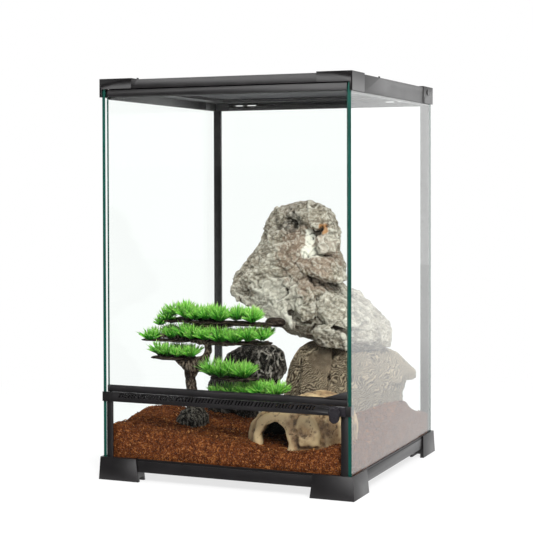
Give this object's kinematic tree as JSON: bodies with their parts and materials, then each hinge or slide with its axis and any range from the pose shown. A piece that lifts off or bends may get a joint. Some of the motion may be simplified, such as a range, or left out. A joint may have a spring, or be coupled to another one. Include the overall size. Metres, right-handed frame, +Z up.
{
  "type": "reptile terrarium",
  "caption": "Tall glass terrarium on a black frame with a hinged front door, slotted vent bar, lift-out mesh lid and a planted rock landscape.",
  "frame": {"origin": "middle of the footprint, on the surface the feet stand on", "axes": "+X to the viewer's right as one faces the door, +Y to the back, +Z up; the door is on the -Y side"},
  "size_m": [0.304, 0.3075, 0.45],
  "materials": {
    "moulded_black": "satin moulded",
    "glossy_black": "glossy moulded",
    "float_glass": "polished, green edges",
    "black_silicone": "smooth",
    "steel": "drawn",
    "coco_soil": "loose fibre and chips",
    "cave_resin": "matt cast",
    "ridged_stone": "ridged",
    "grey_stone": "craggy",
    "dark_stone": "craggy",
    "bonsai_bark": "moulded bark",
    "leaf_green": "satin blades"
  },
  "bodies": {
    "tank": {"base_front_rail": "moulded_black", "base_rear_rail": "moulded_black", "base_left_rail": "moulded_black", "base_right_rail": "moulded_black", "foot_front_left": "moulded_black", "foot_front_right": "moulded_black", "foot_rear_left": "moulded_black", "foot_rear_right": "moulded_black", "floor_glass": "float_glass", "left_glass": "float_glass", "right_glass": "float_glass", "rear_glass": "float_glass", "lower_front_glass": "float_glass", "base_seal": "black_silicone", "front_left_post": "moulded_black", "front_right_post": "moulded_black", "rear_left_post": "moulded_black", "rear_right_post": "moulded_black", "vent_bar": "moulded_black", "vent_screen": "steel", "latch_plate": "glossy_black", "top_front_rail": "moulded_black", "top_rear_rail": "moulded_black", "top_left_rail": "moulded_black", "top_right_rail": "moulded_black", "cap_front_left": "moulded_black", "cap_front_right": "moulded_black", "cap_rear_left": "moulded_black", "cap_rear_right": "moulded_black", "cap_plugs": "moulded_black", "soil": "coco_soil", "cave_hide": "cave_resin", "brown_rock": "ridged_stone", "upper_rock": "grey_stone", "dark_rock": "dark_stone", "tree_rock": "dark_stone", "bonsai_trunk": "bonsai_bark", "foliage_top": "leaf_green", "foliage_middle": "leaf_green", "foliage_left": "leaf_green", "foliage_right": "leaf_green", "foliage_low": "leaf_green"},
    "front_door": {"door_glass": "float_glass", "door_top_rail": "moulded_black", "door_bottom_rail": "moulded_black", "door_pull": "moulded_black", "door_pivot_pins": "steel"},
    "latch": {"latch_knob": "glossy_black", "latch_spindle": "steel", "latch_clip": "steel"},
    "lid": {"lid_frame": "moulded_black", "lid_mesh": "steel"},
    "left_lid_bolt": {"lid_bolt_left": "moulded_black"},
    "right_lid_bolt": {"lid_bolt_right": "moulded_black"},
    "left_shutter": {"inlet_shutter_left": "moulded_black"},
    "right_shutter": {"inlet_shutter_right": "moulded_black"}
  },
  "joints": [
    {"name": "door_hinge", "type": "hinge", "parent": "tank", "child": "front_door", "pos_m": [-0.1405, -0.145, 0.27], "axis": [0, 0, -1], "range_deg": [0, 90]},
    {"name": "latch_turn", "type": "hinge", "parent": "tank", "child": "latch", "pos_m": [0.1306, -0.145, 0.0924], "axis": [0, 1, 0], "range_deg": [0, 180]},
    {"name": "lid_lift", "type": "slide", "parent": "tank", "child": "lid", "axis": [0, 0, 1], "range_m": [0, 0.04]},
    {"name": "left_bolt_slide", "type": "slide", "parent": "lid", "child": "left_lid_bolt", "axis": [0, -1, 0], "range_m": [0, 0.008]},
    {"name": "right_bolt_slide", "type": "slide", "parent": "lid", "child": "right_lid_bolt", "axis": [0, -1, 0], "range_m": [0, 0.008]},
    {"name": "left_shutter_slide", "type": "slide", "parent": "tank", "child": "left_shutter", "axis": [1, 0, 0], "range_m": [0, 0.033]},
    {"name": "right_shutter_slide", "type": "slide", "parent": "tank", "child": "right_shutter", "axis": [-1, 0, 0], "range_m": [0, 0.033]}
  ]
}
